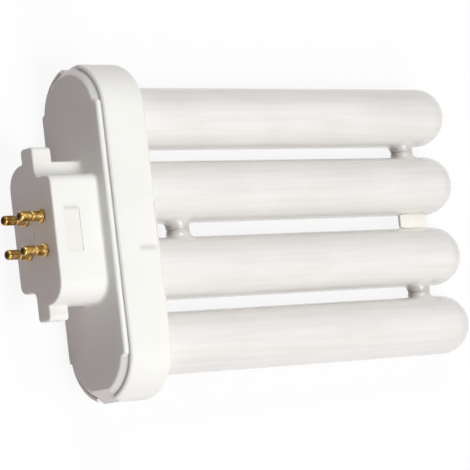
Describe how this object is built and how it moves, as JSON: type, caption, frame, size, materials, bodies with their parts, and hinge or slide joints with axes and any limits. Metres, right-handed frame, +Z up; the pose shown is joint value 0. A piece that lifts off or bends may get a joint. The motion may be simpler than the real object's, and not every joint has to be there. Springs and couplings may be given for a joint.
{
  "type": "four-pin compact fluorescent bulb",
  "caption": "Flat compact fluorescent bulb: straight coated tube limbs in a row, joined by short bridges, in a white moulded base with a keyed plug and brass pins.",
  "frame": {"origin": "centre of the bounding box's bottom face; the bulb lies flat, on the base's front edge and the tubes' tips", "axes": "+X along the tubes from the pins to the tips, tilted by under 3 degrees as it rests; +Y along the row of tubes; +Z up, across the thin way of the base"},
  "size_m": [0.1376, 0.0794, 0.0245],
  "materials": {
    "coated_glass": "smooth glass tube with a white phosphor coat inside, opaque",
    "white_plastic": "white moulded heat-resistant plastic, satin gloss",
    "pin_brass": "turned brass, bright with a light tarnish",
    "silicone": "soft cream silicone, matt",
    "lead_metal": "drawn nickel-plated wire",
    "cement": "cured off-white cement, matt"
  },
  "bodies": {
    "root": {"discharge_tube": "coated_glass", "tube_holder": "white_plastic", "base_cap": "white_plastic", "contact_pin_1": "pin_brass", "contact_pin_2": "pin_brass", "contact_pin_3": "pin_brass", "contact_pin_4": "pin_brass", "tip_spacer": "silicone", "lead_wire_1": "lead_metal", "lead_wire_2": "lead_metal", "lead_wire_3": "lead_metal", "lead_wire_4": "lead_metal", "tube_cement_1": "cement", "tube_cement_2": "cement", "tube_cement_3": "cement", "tube_cement_4": "cement"}
  },
  "joints": []
}
